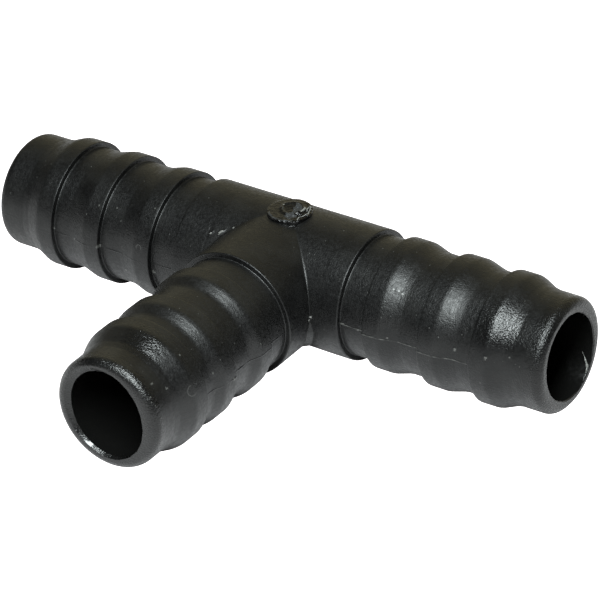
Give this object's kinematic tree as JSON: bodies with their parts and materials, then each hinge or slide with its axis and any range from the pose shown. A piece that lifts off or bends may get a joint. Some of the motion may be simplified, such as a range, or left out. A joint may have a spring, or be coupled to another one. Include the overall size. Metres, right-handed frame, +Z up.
{
  "type": "barbed tee connector",
  "caption": "Black moulded tee connector for flexible irrigation hose, with a barbed spigot on each leg, a plain crossing hub and bores that meet inside.",
  "frame": {"origin": "where the axis of the run meets the axis of the branch, in the middle of the hub", "axes": "+X along the run to the right spigot, -Y along the branch, +Z up through the gate stub"},
  "size_m": [0.07, 0.0413, 0.015],
  "materials": {
    "hub_plastic": "satin, as moulded",
    "spigot_plastic": "satin, as moulded",
    "gate_plastic": "torn and glossy where the sprue broke off"
  },
  "bodies": {
    "root": {"hub": "hub_plastic", "left_spigot": "spigot_plastic", "right_spigot": "spigot_plastic", "branch_spigot": "spigot_plastic", "gate_stub": "gate_plastic"}
  },
  "joints": []
}
